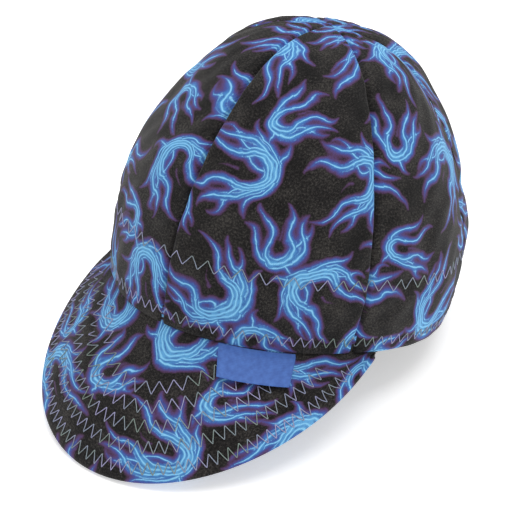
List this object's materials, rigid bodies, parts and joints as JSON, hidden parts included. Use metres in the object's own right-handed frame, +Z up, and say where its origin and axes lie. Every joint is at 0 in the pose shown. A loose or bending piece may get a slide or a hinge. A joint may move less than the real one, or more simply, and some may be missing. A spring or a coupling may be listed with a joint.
{
  "type": "welding cap",
  "caption": "Soft welder's cap: tall round gored crown of flame-printed cotton, stitched hem band, drooping quilted peak and a plain woven label, standing on its peak and rim.",
  "frame": {"origin": "on the floor that the cap stands on, under the middle of its bounding box", "axes": "+Z up; -Y is where the peak points and the wearer looks; +X is the wearer's left"},
  "size_m": [0.178, 0.2596, 0.1665],
  "materials": {
    "printed_cotton": "matte woven cotton twill, near black with a blue and violet flame print",
    "band_cotton": "matte woven cotton, near black",
    "woven_label": "satin woven polyester, plain blue"
  },
  "bodies": {
    "root": {"gore_front_left": "printed_cotton", "gore_side_left": "printed_cotton", "gore_back_left": "printed_cotton", "gore_back_right": "printed_cotton", "gore_side_right": "printed_cotton", "gore_front_right": "printed_cotton", "hem_band": "band_cotton", "peak_upper": "printed_cotton", "peak_under": "printed_cotton", "label": "woven_label"}
  },
  "joints": []
}
